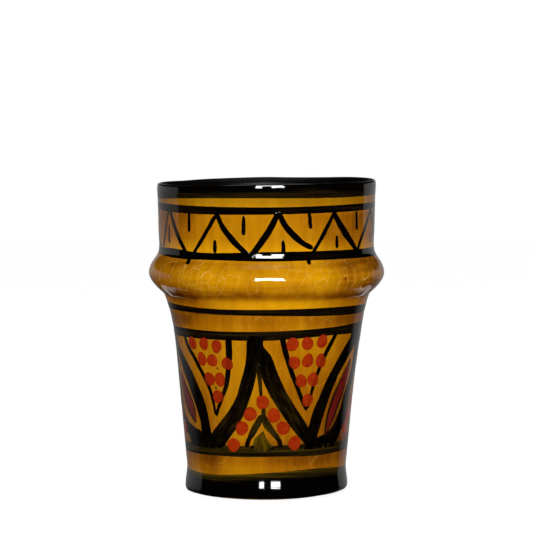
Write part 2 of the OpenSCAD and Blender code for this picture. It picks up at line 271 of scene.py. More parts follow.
def new_material(name, roughness):
    material = bpy.data.materials.new(name)
    material.use_nodes = True
    tree = material.node_tree
    shader = tree.nodes["Principled BSDF"]
    shader.inputs["Roughness"].default_value = roughness
    return material, tree, shader


def bumped(tree, shader, height, depth):
    bump = add(tree, "Bump", Height=height, Distance=depth)
    join(tree, shader.inputs["Normal"], bump.outputs[0])


clay, tree, shader = new_material("bare_clay", clay_roughness)
place = add(tree, "TexCoord").outputs["Object"]
grain = noise(tree, place, scale=900.0, detail=6.0, roughness=0.7)
patches = noise(tree, place, scale=60.0, detail=3.0)
body_colour = mixed(tree, ranged(tree, patches, 0.35, 0.65), clay_light, clay_deep)
dust = noise(tree, place, scale=2200.0, detail=1.0)
specks = ranged(tree, dust, 0.66, 0.72, 0.0, 0.6)
speckled = mixed(tree, specks, body_colour, speck_colour)
measured = add(tree, "VectorMath", {"operation": "LENGTH"})
join(tree, measured.inputs[0], stretched(tree, place, 1, 1, 0))
from_axis = measured.outputs["Value"]
# The bare clay is made darker at the foot ring's outer edge, next to the glaze edge and the floor.
ragged = worked(tree, "MULTIPLY_ADD", patches, edge_dark_wander, from_axis)
run_out = ranged(tree, ragged, edge_dark_starts + edge_dark_wander / 2, edge_dark_full + edge_dark_wander / 2)
height = add(tree, "SeparateXYZ", Vector=place).outputs["Z"]
low = ranged(tree, height, edge_dark_height, 2 * edge_dark_height, 1.0, 0.0)
edge_darkened = mixed(tree, times(tree, run_out, low), speckled, edge_dark_colour)
join(tree, shader.inputs["Base Color"], edge_darkened)
turning = worked(tree, "SINE", times(tree, from_axis, math.tau / turning_pitch))
bumped(tree, shader, worked(tree, "MULTIPLY_ADD", turning, turning_share, grain), clay_bump)

glazed_clay = rising(clay_corners & outer_corners)
lined_clay = rising(clay_corners & lining_corners)[::-1]
bare_clay = outwards(clay_corners - outer_corners - lining_corners)
under = [(0, bare_clay[0][1])] + bare_clay
bottom = [(0, lined_clay[-1][1])]
clay_piece = turned("thrown_clay", under + glazed_clay + lined_clay[1:] + bottom)
finished(clay_piece, clay, "bare_clay", "clay_body")


# The honey glaze
# The cup is dipped in an amber lead glaze, and the inside is swilled with it. The glaze is glossy
# and clear. It breaks light over the collar and pools brown in the groove, and painted light and
# shade are added to its colour: lighter over the collar's crest, at the front of the groove and on
# the right of the base, and darker in the groove under the collar and towards the left and right.
# Fine pale cracks run up it aslant, and stand out most on the collar.
skin_rows = 310
lining_rows = 240
line_points = 3000
bend_room = 6 * mm
glaze_roughness = 0.045
glaze_bump = 0.03 * mm
thin_glaze = (0.73, 0.325, 0.003, 1)
even_glaze = (0.50, 0.205, 0.002, 1)
full_glaze = (0.40, 0.14, 0.0015, 1)
pooled_glaze = (0.22, 0.065, 0.001, 1)
brown_glaze = (0.10, 0.022, 0.001, 1)
glaze_tones = {0.12: thin_glaze, 0.42: even_glaze, 0.58: full_glaze, 0.78: pooled_glaze,
               1.0: brown_glaze}
crack_colour = (0.86, 0.52, 0.10, 1)
veil_colour = (0.17, 0.095, 0.002, 1)
# Glaze depth by share of the cup's height. Its dark step in the groove under the collar is partly
# painted shade, and its light collar crest is partly painted light.
depth_by_height = {
    0.0: 0.5, 0.1: 0.6, 0.122: 0.74, 0.16: 0.78, 0.2: 0.56, 0.3: 0.57, 0.45: 0.49, 0.548: 0.49,
    0.567: 0.56, 0.59: 0.55, 0.612: 0.2, 0.632: 0.3, 0.648: 0.66, 0.672: 0.46, 0.712: 0.24,
    0.75: 0.47, 0.79: 0.2, 0.83: 0.52, 0.9: 0.6, 0.93: 0.44,
}
# Shares of the cup's height where a look starts, is full, fades and is gone, or two of these.
base_part = (0.16, 0.18)
waist_part = (0.535, 0.555, 0.575, 0.59)
groove_part = (0.58, 0.6, 0.64, 0.655)
left_dark_part = (0.605, 0.63, 0.74, 0.8)
collar_part = (0.64, 0.67, 0.74, 0.8)
veil_part = (0.92, 0.945)
veil_share = 0.45
crack_cell = 2.9 * mm
crack_warp = 3 * mm
crack_lean = (0.3, 0.35, 0)
crack_stretch = (1, 1, 5)
crack_width = 0.03


def crowded(points, count):
    """So many points along the same line, which stand closer together where it bends."""
    line = flowing(points, line_points)
    way = np.diff(line, axis=0)
    bend = np.abs(np.diff(np.unwrap(np.arctan2(way[:, 1], way[:, 0]))))
    bend_near = (np.append(bend, 0) + np.insert(bend, 0, 0)) / 2
    step = np.linalg.norm(way, axis=1) + bend_room * bend_near
    run = np.concatenate([[0], np.cumsum(step)])
    at = np.linspace(0, run[-1], count)
    return np.stack([np.interp(at, run, line[:, i]) for i in (0, 1)], axis=1)


foot_edge = min(outer_corners, key=lambda point: (point[1], -point[0]))
outer_line = [foot_edge] + [p for p in rising(outer_corners - clay_corners) if p[1] > foot_edge[1]]
lining_line = sorted(lining_corners - clay_corners, key=lambda point: (-point[1], -point[0]))
lining_line.append((0, lining_line[-1][1]))
outer_skin = crowded(outer_line, skin_rows)
lining_skin = crowded(lining_line, lining_rows)


def between(tree, value, starts, full, fades, gone):
    """1 where a value lies in a span, and eased to 0 at both ends of it."""
    rising_side = ranged(tree, value, starts, full)
    return times(tree, rising_side, ranged(tree, value, fades, gone, 1.0, 0.0))


def wandering(tree, place, up, scale, detail, reach):
    """A value that wanders to both sides of 0, in a pattern drawn out or pressed flat by up."""
    pattern = noise(tree, stretched(tree, place, 1, 1, up), scale, detail)
    return ranged(tree, pattern, 0.3, 0.7, -reach, reach)


def toned(tree, value, tones):
    """The colour that stands at a value in a row of colours."""
    made = add(tree, "ValToRGB", Fac=value)
    ramp = made.color_ramp.elements
    ramp.remove(ramp[1])
    first, *others = tones.items()
    ramp[0].position, ramp[0].color = first
    for position, colour in others:
        ramp.new(position).color = colour
    return made.outputs["Color"]


honey, tree, shader = new_material("honey_glaze", glaze_roughness)
place = add(tree, "TexCoord").outputs["Object"]
x, y, z = add(tree, "SeparateXYZ", Vector=place).outputs
across, deep = worked(tree, "POWER", x, 2.0), worked(tree, "POWER", y, 2.0)
sideways = worked(tree, "DIVIDE", across, plus(tree, across, deep, 1e-7))
height = worked(tree, "DIVIDE", z, lip_height)
usual = toned(tree, height, {at: (depth, depth, depth, 1) for at, depth in depth_by_height.items()})
patch = wandering(tree, place, up=0.7, scale=42.0, detail=3.0, reach=0.14)
streak = wandering(tree, place, up=0.12, scale=420.0, detail=2.0, reach=0.05)
# Painted shade: the glaze is a little lighter at the front and darker towards the left and right,
# most on the right.
side_shade = ranged(tree, sideways, 0.15, 0.75, -0.03, ranged(tree, x, -5 * mm, 5 * mm, 0.08, 0.23))
collar_rings = wandering(tree, place, up=9, scale=70.0, detail=2.0, reach=0.07)
# Painted shade: the collar is darker towards the left and right, and more on the right.
collar_side_shade = plus(tree, ranged(tree, sideways, 0.35, 0.5, 0.0, 0.06),
                    ranged(tree, x, 22 * mm, 33 * mm, 0.0, 0.1))
# The collar and the groove under it are darker on the left, from 19 to 33 mm left of the middle.
left_darkening = times(tree, between(tree, x, -33 * mm, -29 * mm, -25 * mm, -19 * mm), 0.16)
# Painted light and shade in the groove: lighter at the front, darker towards the left and right.
groove_light_and_shade = ranged(tree, sideways, 0.0, 0.45, -0.13, 0.2)
# Painted shade: the waist is darker right of the middle and far to the left.
waist_side_shade = plus(tree, ranged(tree, x, 8 * mm, 14 * mm, 0.0, 0.16),
                   ranged(tree, x, -26 * mm, -22 * mm, 0.22, 0.0))
# Painted light: the glaze under the base line is lighter on the right.
base_right_light = ranged(tree, x, 15 * mm, 22 * mm, 0.0, -0.28)
on_collar = between(tree, height, *collar_part)
depth = plus(tree, usual, patch, streak, side_shade,
             times(tree, plus(tree, collar_rings, collar_side_shade), on_collar),
             times(tree, left_darkening, between(tree, height, *left_dark_part)),
             times(tree, groove_light_and_shade, between(tree, height, *groove_part)),
             times(tree, waist_side_shade, between(tree, height, *waist_part)),
             times(tree, base_right_light, ranged(tree, height, *base_part, 1.0, 0.0)))

warp = add(tree, "TexNoise", Vector=place, Scale=110.0, Detail=1.0)
bent = add(tree, "VectorMath", {"operation": "MULTIPLY_ADD"})
for socket, value in zip(bent.inputs, (warp.outputs["Color"], (crack_warp,) * 3, place)):
    join(tree, socket, value)
leant = add(tree, "Mapping", {"vector_type": "TEXTURE"}, Vector=bent.outputs[0],
            Rotation=crack_lean, Scale=crack_stretch)
cells = add(tree, "TexVoronoi", {"feature": "DISTANCE_TO_EDGE"}, Vector=leant.outputs[0],
            Scale=1 / crack_cell)
crack = ranged(tree, cells.outputs["Distance"], 0.0, crack_width, 1.0, 0.0)
spread = worked(tree, "MULTIPLY_ADD", on_collar, 0.08, noise(tree, place, scale=75.0))
strength = worked(tree, "MULTIPLY_ADD", on_collar, 0.4, 0.14)
crack_share = times(tree, crack, ranged(tree, spread, 0.42, 0.6), strength)
veil = ranged(tree, height, *veil_part, 0.0, veil_share)
veiled = mixed(tree, veil, toned(tree, depth, glaze_tones), veil_colour)
join(tree, shader.inputs["Base Color"], mixed(tree, crack_share, veiled, crack_colour))
bumped(tree, shader, noise(tree, place, scale=230.0), glaze_bump)

outer_piece = turned("outer_honey_glaze", [*outer_skin, *glazed_clay[::-1]])
finished(outer_piece, honey, "honey_glaze", "outer_glaze")
lining_piece = turned("lining_honey_glaze", [*lining_skin, *bottom, *lined_clay[::-1]])
finished(lining_piece, honey, "honey_glaze", "lining_glaze")


# Bands painted on the wheel
# While the cup turns slowly on the wheel, a loaded brush held against it lays the dark band over
# the lip, the two neck lines, the two waist lines, the base line and the foot's band. The paint is
# a thin film that melts into the glaze, near black where it is full and olive where it is thin.
film = 0.012 * mm
film_edge = -0.004 * mm
film_depth = 0.05 * mm
film_curve = 6
flat_top = 1.05
fewest_rows = 8
over_rings = 0.0025 * mm
lay = 0.001 * mm
inside_edge = 96 * mm
inside_roughness = 0.4
inside_gloss = 0.12
outside_gloss = 0.5
inside_part = (0.15, 0.3)
paint_black = (0.0009, 0.0007, 0.0005, 1)
paint_brown = (0.0075, 0.0042, 0.001, 1)
paint_olive = (0.034, 0.021, 0.002, 1)
paint_wash = (0.11, 0.062, 0.002, 1)
paint_tones = {0.15: paint_wash, 0.4: paint_olive, 0.68: paint_brown, 0.9: paint_black}
paint_bump = 0.01 * mm
ring_streaks = (45, 45, 1500)

skin = np.vstack([outer_skin, lining_skin[1:]])
skin_way = np.gradient(skin, axis=0)
skin_way /= np.linalg.norm(skin_way, axis=1)[:, None]
skin_out = np.stack([skin_way[:, 1], -skin_way[:, 0]], axis=1)
skin_reach = np.arange(len(skin))


def reach_at(angle, height):
    """How many rows up the skin a painted height is, measured as it stands on the thrown cup."""
    true_height = height
    for _ in range(4):
        true_height = height - hand_lift(angle, true_height)
    return np.interp(true_height, outer_skin[:, 1], skin_reach[:skin_rows])


def on_cup(angle, reach, lift):
    """Points a little above the glaze, so many rows up its skin from the foot and over the lip."""
    radius, height = (np.interp(reach, skin_reach, at) + lift * np.interp(reach, skin_reach, out)
                      for at, out in zip(skin.T, skin_out.T))
    return thrown(angle, radius, height)


def set_values(piece, **values):
    """Values kept at each point of a piece, for its material to read."""
    count = len(piece.data.vertices)
    for name, numbers in values.items():
        kept = piece.data.attributes.new(name, "FLOAT", "POINT")
        kept.data.foreach_set("value", np.broadcast_to(numbers, count).astype(float))


def given_depth(piece):
    """The film is closed by an inner side that is sunk in the glaze."""
    bpy.ops.object.mode_set(mode="EDIT")
    bpy.ops.mesh.select_all(action="SELECT")
    bpy.ops.mesh.normals_make_consistent(inside=False)
    bpy.ops.object.mode_set(mode="OBJECT")
    middle = vertices_of(piece).mean(axis=0)
    face = piece.data.polygons[len(piece.data.polygons) // 2]
    out = np.array([*face.center[:2], 0.0])
    if not middle[:2].any() or np.dot(face.normal, out) < 0:
        piece.data.flip_normals()
    solid = piece.modifiers.new("depth", "SOLIDIFY")
    solid.thickness = film_depth
    solid.offset = -1
    bpy.ops.object.modifier_apply(modifier=solid.name)
    bpy.ops.object.shade_smooth_by_angle(angle=smooth_below)


def film_lift(share, top):
    """The film's height over the glaze, from its edge to its middle."""
    curve = np.abs(2 * share - 1) ** film_curve
    return film_edge + (top - film_edge) * np.clip(flat_top - curve, 0, 1)


def ring(name, top, low, load, thick=film):
    """A painted ring between two edges, which are functions of the angle that give a reach. load is
    how full the brush was, from the low edge to the top one."""
    columns = max(fewest_rows, round(abs(top(0) - low(0))))
    bpy.ops.object.select_all(action="DESELECT")
    bpy.ops.mesh.primitive_grid_add(x_subdivisions=segments, y_subdivisions=columns, size=1)
    piece = bpy.context.object
    piece.name = piece.data.name = name
    x, y, _ = vertices_of(piece).T
    angle = 360 * x
    share = 0.5 - 0.5 * np.cos(np.pi * (y + 0.5))
    reach = low(angle) + (top(angle) - low(angle)) * share
    loads = np.interp(share, np.linspace(0, 1, len(load)), load)
    set_values(piece, across=2 * share - 1, load=loads)
    move_vertices(piece, on_cup(angle, reach, film_lift(share, thick)))
    bpy.ops.object.mode_set(mode="EDIT")
    bpy.ops.mesh.select_all(action="SELECT")
    bpy.ops.mesh.remove_doubles(threshold=seam)
    bpy.ops.object.mode_set(mode="OBJECT")
    given_depth(piece)
    return piece


def line_round(name, node, tops, lows, load):
    """A line round the cup between two given edges."""
    top_edge, low_edge = round_the_cup(tops), round_the_cup(lows)
    piece = ring(name, lambda a: reach_at(a, top_edge(a)), lambda a: reach_at(a, low_edge(a)), load)
    finished(piece, dark, "dark_paint", node)


def own(tree, name):
    """A value that a piece keeps at its points."""
    return add(tree, "Attribute", {"attribute_name": name}).outputs["Fac"]


def dark_paint(name, drawn_out):
    """Paint that is near black where the brush left it full, and olive where it ran thin. drawn_out
    gives the places that its streaks follow."""
    material, tree, shader = new_material(name, glaze_roughness)
    streaks = noise(tree, drawn_out(tree), scale=1.0, detail=3.0, roughness=0.6)
    edge = worked(tree, "ABSOLUTE", own(tree, "across"))
    full = plus(tree, own(tree, "load"), ranged(tree, streaks, 0.25, 0.75, -0.22, 0.2),
                ranged(tree, edge, 0.72, 1.0, 0.0, -0.16))
    join(tree, shader.inputs["Base Color"], toned(tree, full, paint_tones))
    bumped(tree, shader, streaks, paint_bump)
    return material


def round_streaks(tree):
    return stretched(tree, add(tree, "TexCoord").outputs["Object"], *ring_streaks)


dark = dark_paint("dark_paint_rings", round_streaks)

inside_low = np.interp(-inside_edge, -lining_skin[:, 1], skin_reach[skin_rows - 1:])
rim_dark = dark_paint("dark_paint_rim", round_streaks)
tree = rim_dark.node_tree
shader = tree.nodes["Principled BSDF"]
inside = own(tree, "across")
join(tree, shader.inputs["Roughness"],
     ranged(tree, inside, *inside_part, glaze_roughness, inside_roughness))
join(tree, shader.inputs["Specular IOR Level"],
     ranged(tree, inside, *inside_part, outside_gloss, inside_gloss))

rim_low = round_the_cup([(-150, 96.5), (-77, 95.4), (-45, 96.1), (0, 96.5), (30, 96.4), (60, 96.5),
                         (77, 96.7), (140, 96.4)])
rim_piece = ring("rim_band_paint", lambda a: inside_low + np.sin(np.radians(3 * a)),
                 lambda a: reach_at(a, rim_low(a)), [0.75, 0.95, 1.0, 1.0, 1.0, 1.0], 2 * film)
finished(rim_piece, rim_dark, "dark_paint", "rim_band")
line_round("upper_neck_line", "neck_line_upper",
           [(-160, 94.0), (-77, 94.4), (-45, 94.1), (0, 93.9), (16, 94.0), (39, 94.3), (77, 94.5),
            (130, 94.0)],
           [(-160, 91.9), (-77, 92.0), (-45, 91.4), (0, 91.5), (39, 91.9), (77, 92.3), (130, 92.0)],
           [0.9, 0.75, 0.9])
line_round("lower_neck_line", "neck_line_lower",
           [(-150, 79.5), (-75, 80.0), (-55, 80.1), (-40, 79.4), (0, 79.9), (40, 80.0), (80, 79.9),
            (140, 79.6)],
           [(-150, 77.1), (-75, 77.5), (-47, 76.9), (-30, 77.0), (0, 76.8), (30, 77.0), (80, 77.0),
            (140, 77.0)],
           [0.95, 0.9, 0.95])
line_round("upper_waist_line", "waist_line_upper",
           [(-150, 61.6), (-67, 62.0), (-33, 61.4), (0, 61.5), (44, 61.7), (78, 61.5), (140, 61.3)],
           [(-150, 59.4), (-67, 59.9), (-33, 59.5), (0, 59.4), (45, 58.8), (79, 58.7), (140, 59.2)],
           [0.85, 0.74, 0.82])
line_round("lower_waist_line", "waist_line_lower",
           [(-150, 54.9), (-73, 54.5), (-30, 54.2), (2, 54.5), (40, 55.2), (75, 55.9), (140, 55.2)],
           [(-150, 52.0), (-71, 51.3), (-30, 51.3), (0, 51.4), (41, 52.5), (76, 52.2), (140, 52.1)],
           [0.8, 0.68, 0.78])
line_round("base_line_paint", "base_line",
           [(-150, 17.6), (-76, 16.9), (-46, 17.2), (0, 17.7), (49, 18.0), (76, 17.3), (140, 17.5)],
           [(-150, 14.0), (-76, 13.4), (-43, 13.6), (-15, 13.8), (10, 14.0), (35, 13.7), (60, 14.0),
            (140, 13.8)],
           [0.75, 0.5, 0.62])
foot_top = round_the_cup([(-150, 8.4), (-81, 7.9), (-40, 7.7), (0, 9.0), (36, 9.8), (78, 8.6),
                          (140, 8.2)])
# The band's top is olive: partly paint running thin at its edge, partly a painted reflection of the
# pale floor.
foot_piece = ring("foot_band_paint", lambda a: reach_at(a, foot_top(a)), lambda a: 0 * a,
                  [1.3, 1.3, 1.3, 1.3, 1.2, 0.52, 0.46])
finished(foot_piece, dark, "dark_paint", "foot_band")


# The border round the neck
# Eleven teeth of dark paint are brushed between the neck lines, each with two quick strokes that
# meet at its peak, the second one heavier. A short tick hangs in each gap, and another stands in
# each tooth.
stroke_columns = 8
row_length = 0.45 * mm
stroke_points = 80
line_steps = 24
waver_knots = 11
edge_waver = 0.05
narrowest = 0.1
end_width = 0.2
streaks_along = 160.0
streaks_across = 2.6
zigzag_front = {
    -61: ([(-62, 92.4), (-67, 85.2), (-72, 79)], 1.3,
          [(-60.8, 92.4), (-56.2, 87.2), (-51.8, 83.0), (-45.2, 78)], 1.8),
    -26.5: ([(-25.6, 92.4), (-31.8, 86.5), (-36.5, 82.6), (-42.0, 78.2)], 1.45,
            [(-27, 92.2), (-22.8, 87.3), (-18.0, 83.6), (-13.2, 80.7), (-7, 77.7)], 1.9),
    5.8: ([(6.0, 92.2), (2.2, 87.4), (-2.0, 83.5), (-8.2, 78.2)], 2.2,
          [(6, 92.4), (9.8, 87.9), (13.7, 85.2), (18.2, 82.8), (24.8, 80.7)], 1.95),
    37.5: ([(37.8, 92.2), (32.8, 87.2), (28.8, 83.2), (24.4, 79.0)], 1.55,
           [(36.6, 92.4), (41.9, 87.7), (47.2, 84.2), (55.6, 79.4)], 2.3),
    71: ([(71.4, 92.2), (65.0, 87.2), (60.0, 83.3), (56.0, 79.2)], 1.7,
         [(71, 92.4), (76, 88.4), (81, 84.4), (89, 79)], 1.8),
}
zigzag_back = {103: -26.5, 135: 37.5, 168.5: 5.8, -159: -26.5, -126.5: 5.8, -94: 37.5}
hanging_front = [
    [(-43.8, 92.2), (-44.1, 85.6)], [(-11.7, 91.2), (-11.9, 85.0)],
    [(22.4, 92.2), (23.3, 86.9)], [(54.3, 92.2), (55.1, 86.0)],
]
standing_front = [
    [(-61.8, 87.6), (-62.2, 81.5)], [(-27.5, 83.5), (-27.7, 79.2)], [(8.5, 83.5), (8.8, 79.3)],
    [(39.4, 84.7), (39.8, 80.5)], [(71.9, 85.1), (72.6, 81.5)],
]
hanging_back = [87, 119, 152, -176, -143, -110, -77.5]
dark_shapes = []


def waver():
    """The slow, uneven waver of a brush's edge, in mm."""
    knots = [hand.gauss(0, edge_waver) for _ in range(waver_knots)]
    return np.interp(np.linspace(0, waver_knots - 1, stroke_points), range(waver_knots), knots)


def degree_at(height):
    """How many mm a degree spans on the cup at a height in mm."""
    return np.interp(height * mm, outer_skin[:, 1], outer_skin[:, 0]) * math.radians(1) / mm


def stroke(left, right, load, order, ends=True):
    """One brush stroke between two edge lines of (angle, height in mm) points, each from its start
    to its end. load is how full the brush was, at the start, along the way and at the end. Where
    strokes cross, the one of the higher order lies on top."""
    scale = degree_at(np.mean([point[1] for point in left]))
    left, right = (flowing(np.asarray(line) * (scale, 1), stroke_points) for line in (left, right))
    middle, half = (left + right) / 2, (right - left) / 2
    length = np.linalg.norm(np.diff(middle, axis=0), axis=1).sum() * mm
    rows = max(fewest_rows, round(length / row_length))
    bpy.ops.object.select_all(action="DESELECT")
    bpy.ops.mesh.primitive_grid_add(x_subdivisions=stroke_columns, y_subdivisions=rows, size=1)
    piece = bpy.context.object
    x, y, _ = vertices_of(piece).T
    along, share = y + 0.5, 0.5 - 0.5 * np.cos(np.pi * (x + 0.5))
    steps = np.linspace(0, 1, stroke_points)
    width = np.maximum(np.linalg.norm(half, axis=1), narrowest)
    if ends:
        to_end = np.minimum(steps, 1 - steps) * length / mm / width
        rounded = np.sqrt(1 - (1 - np.minimum(to_end, 1)) ** 2)
        half = half * np.maximum(rounded, end_width)[:, None]
    shift = half / width[:, None]
    edges = [middle + side * half + shift * waver()[:, None] for side in (-1, 1)]
    first, second = (np.stack([np.interp(along, steps, edge[:, i]) for i in (0, 1)], axis=1)
                     for edge in edges)
    angle, height = (first + (second - first) * share[:, None]).T
    angle /= scale
    dark_shapes.append(np.vstack([edges[0], edges[1][::-1]]) / (scale, 1))
    loads = np.interp(along, np.linspace(0, 1, len(load)), load)
    set_values(piece, across=2 * share - 1, load=loads, along=along * length + hand.random())
    lift = film_lift(share, film + over_rings + order * lay)
    move_vertices(piece, on_cup(angle, reach_at(angle, height * mm), lift))
    given_depth(piece)
    return piece


def drawn(line, widths, load, order):
    """A stroke down a line of points, with its widths in mm from the start to the end."""
    scale = degree_at(line[0][1])
    points = flowing(np.asarray(line, float) * (scale, 1), line_steps)
    way = np.gradient(points, axis=0)
    way /= np.linalg.norm(way, axis=1)[:, None]
    side = np.stack([-way[:, 1], way[:, 0]], axis=1)
    steps = np.linspace(0, 1, line_steps)
    wide = np.interp(steps, np.linspace(0, 1, len(widths)), widths)[:, None] / 2
    left, right = ((points + turn * side * wide) / (scale, 1) for turn in (1, -1))
    return stroke(left, right, load, order)


def joined(name, pieces, material, slot, *nodes):
    """Strokes of one kind, joined to one piece."""
    bpy.ops.object.select_all(action="DESELECT")
    for piece in pieces:
        piece.select_set(True)
    bpy.context.view_layer.objects.active = pieces[0]
    bpy.ops.object.join()
    piece = bpy.context.object
    piece.name = piece.data.name = name
    finished(piece, material, slot, *nodes)


def moved(line, turn, spread):
    """The same line painted elsewhere round the cup, a little off each time."""
    return [(angle + turn + hand.uniform(-2, 2) * spread, height + hand.uniform(-1, 1) * spread)
            for angle, height in line]


def brush_streaks(tree):
    return add(tree, "CombineXYZ", X=times(tree, own(tree, "along"), streaks_along),
               Y=times(tree, own(tree, "across"), streaks_across)).outputs[0]


brushed_dark = dark_paint("dark_paint_strokes", brush_streaks)

teeth = dict(zigzag_front)
for peak, like in zigzag_back.items():
    first, first_w, second, second_w = zigzag_front[like]
    turn = peak - like
    teeth[peak] = (moved(first, turn, 0.2), first_w, moved(second, turn, 0.2), second_w)
zigzag = []
for first, first_w, second, second_w in teeth.values():
    zigzag.append(drawn(first, [first_w * 0.8, first_w, first_w * 0.8], [1.0, 0.95, 1.0], 2))
    zigzag.append(drawn(second, [second_w * 0.8, second_w * 1.1, second_w * 0.75], [1.0], 4))
zigzag.append(drawn([(-44.0, 78.5), (-43.2, 75.3)], [1.3, 1.9], [1.0], 1))
zigzag.append(drawn([(22.2, 78.5), (21.8, 75.7)], [1.2, 1.5], [1.0], 1))
joined("zigzag_strokes", zigzag, brushed_dark, "dark_paint", "zigzag_border")

ticks = [drawn(line, [1.0, 1.35, 1.3], [0.95, 0.9], 1) for line in hanging_front + standing_front]
ticks.append(drawn([(40.6, 71.25), (40.6, 70.65)], [0.5, 0.6], [0.62], 1))
for peak in zigzag_back:
    ticks.append(drawn(moved([(0, 85), (0.3, 80)], peak, 0.3), [0.95, 1.3, 1.2], [0.9], 1))
for gap in hanging_back:
    ticks.append(drawn(moved([(0, 92.2), (0.4, 86.5)], gap, 0.3), [1.1, 1.3, 1.1], [0.9], 1))
joined("tick_strokes", ticks, brushed_dark, "dark_paint", "tick_marks")


# The arches of the panel
# Four broad arches of dark paint stand round the body. Two strokes arch over the front and two over
# the back, and the flanks beside them form the other two arches, with a leaf of bare glaze in each
# flank. All are laid with a full brush, which runs olive where it lifts.
half_turn = 180
front_arms = [
    ([(-11, 53), (-12.0, 51.1), (-12.3, 47.5), (-13.6, 42.8), (-16.6, 37.7), (-19.3, 33.6),
      (-24.6, 29.2), (-32.4, 24.9), (-40.0, 21.0), (-46, 17.5)],
     [(-2, 53), (-3.2, 48), (-5.0, 43.4), (-6.4, 40.0), (-8.3, 36.2), (-12.0, 31.0), (-15.1, 27.2),
      (-20.3, 23.1), (-28.6, 17.7), (-31, 16)],
     [0.95, 0.82, 0.8, 0.72, 0.9]),
    ([(-5, 53), (-5.6, 48), (-4.8, 43.4), (-1.6, 37.6), (5.1, 31.3), (12.2, 26.0), (20.6, 20.9),
      (29, 16.6)],
     [(0, 53), (-2.0, 50.9), (3.1, 46.3), (6.8, 41.5), (12.0, 35.6), (18.8, 30.2), (27.2, 24.6),
      (36, 18)],
     [0.95, 0.86, 0.7, 0.72, 0.9]),
]
flanks = [
    ([(62.3, 53.4), (61.1, 51.1), (57.7, 49.4), (49.8, 44.3), (42.0, 38.4), (37.0, 33.6),
      (31.9, 27.9), (28.8, 22.8), (26.0, 16)],
     [(74, 53.4), (70.5, 48.9), (61.3, 44.3), (52.1, 38.8), (46.6, 33.9), (42.9, 29.2),
      (39.4, 24.2), (36.9, 20.2), (35.5, 16)],
     [0.9, 0.84, 0.88, 0.92]),
    ([(69, 53.4), (70.0, 49.0), (70.2, 42.3), (68.3, 39.1), (61.7, 32.7), (57.0, 27.3),
      (49.5, 22.5), (42.5, 20.4), (37.0, 19.8), (33, 17.0), (33, 16)],
     [(90, 53.4), (90, 46), (84, 40.6), (77.5, 37.4), (72.6, 34.0), (70.5, 27.8), (66.6, 22.6),
      (62.4, 20.9), (58.2, 18.2), (57, 17), (56, 16)],
     [0.9, 0.84, 0.8, 0.86, 0.9]),
    ([(-79, 53.4), (-76.5, 46.5), (-71.0, 42.5), (-66.6, 39.4), (-61.6, 35.9), (-58.2, 32.7),
      (-54.6, 29.6), (-52.2, 26.9), (-50.4, 24.2), (-50.0, 21.8), (-48, 16)],
     [(-78, 53.4), (-72.6, 48.4), (-65.7, 45.4), (-56.2, 40.8), (-52.3, 38.0), (-48.7, 35.1),
      (-46.0, 32.6), (-43.5, 29.7), (-41.8, 25.6), (-40.4, 21.2), (-37, 16)],
     [0.9, 0.84, 0.88, 0.92]),
    ([(-98, 53.4), (-97, 46), (-94, 40.6), (-88, 35.5), (-82, 29), (-78, 23.6), (-73.7, 20.2),
      (-67.5, 18.4), (-66, 17), (-64, 16)],
     [(-80, 53.4), (-77, 44.5), (-77.2, 38.6), (-76.4, 32.4), (-74.6, 27.2), (-68.0, 24.2),
      (-60.5, 22.6), (-54.0, 21.8), (-49.5, 21.2), (-45, 19), (-43, 16)],
     [0.9, 0.84, 0.8, 0.86, 0.9]),
]
front_arch, back_arch = -3, 177
stem_tops = {front_arch: 44.0, 87: 41.0, back_arch: 44.0, 267: 41.0}
front_stem = [(-2.4, 44), (-1.2, 39), (-0.4, 33.6)]
over_arms = 17

arches = []
for left, right, load in front_arms + flanks:
    order = 4 + len(arches)
    arches.append(stroke(left, right, load, order, ends=False))
    left, right = moved(left, half_turn, 0.3), moved(right, half_turn, 0.3)
    arches.append(stroke(left, right, load, order, ends=False))
for turn, top in stem_tops.items():
    line = moved(front_stem, turn, 0.0 if turn == front_arch else 0.3)
    line[0] = (line[0][0], top)
    arches.append(drawn(line, [1.2, 1.4, 1.0], [0.7, 0.55, 0.6], over_arms))
joined("arch_brush_strokes", arches, brushed_dark, "dark_paint", "arch_strokes")


# The doorways
# A little arch stands on the base line inside each big one, over a doorway that is filled with a
# thin wash. The brush was nearly empty here, so the paint is an olive brown.
doorway_lines = [
    ([(1.1, 27.6), (-1.2, 26.3), (-3.4, 24.3), (-6.1, 22.0), (-8.5, 19.9), (-10.9, 17.0)],
     [1.6, 2.3, 2.2, 1.6, 1.5], [0.6, 0.5, 0.66, 0.85], 3),
    ([(1.1, 27.4), (2.4, 25.4), (5.8, 22.8), (9.0, 20.9), (12.0, 18.6), (12.6, 16.8)],
     [1.8, 2.7, 2.0, 1.5, 1.7], [0.6, 0.46, 0.6, 0.85], 5),
    ([(1.1, 29.9), (1.2, 26.6)], [1.4, 1.4], [0.6, 0.5], 4),
]
door_left = [(0.2, 22.4), (-2.4, 21.1), (-4.4, 20.4), (-5.4, 19.6), (-5.9, 18.7), (-6.4, 17.2),
             (-6.8, 15.8)]
door_right = [(0.8, 22.4), (2.8, 20.3), (4.5, 19.0), (6.2, 18.0), (7.9, 17.4), (8.2, 16.8),
              (8.4, 15.6)]
door_feet = [(-6.3, 16.6), (7.0, 16.1)]
doors = []
for turn in stem_tops:
    loose = 0.0 if turn == front_arch else 0.25
    for line, widths, load, order in doorway_lines:
        doors.append(drawn(moved(line, turn, loose), widths, load, order))
    left, right = moved(door_left, turn, loose), moved(door_right, turn, loose)
    doors.append(stroke(left, right, [0.34, 0.26, 0.3, 0.42], 6, ends=False))
    for foot, low in door_feet:
        line = moved([(foot, low + 1.2), (foot - 0.4, low)], turn, loose)
        doors.append(drawn(line, [0.9, 1.6], [0.95], 7))
joined("doorway_strokes", doors, brushed_dark, "olive_paint", "doorways")


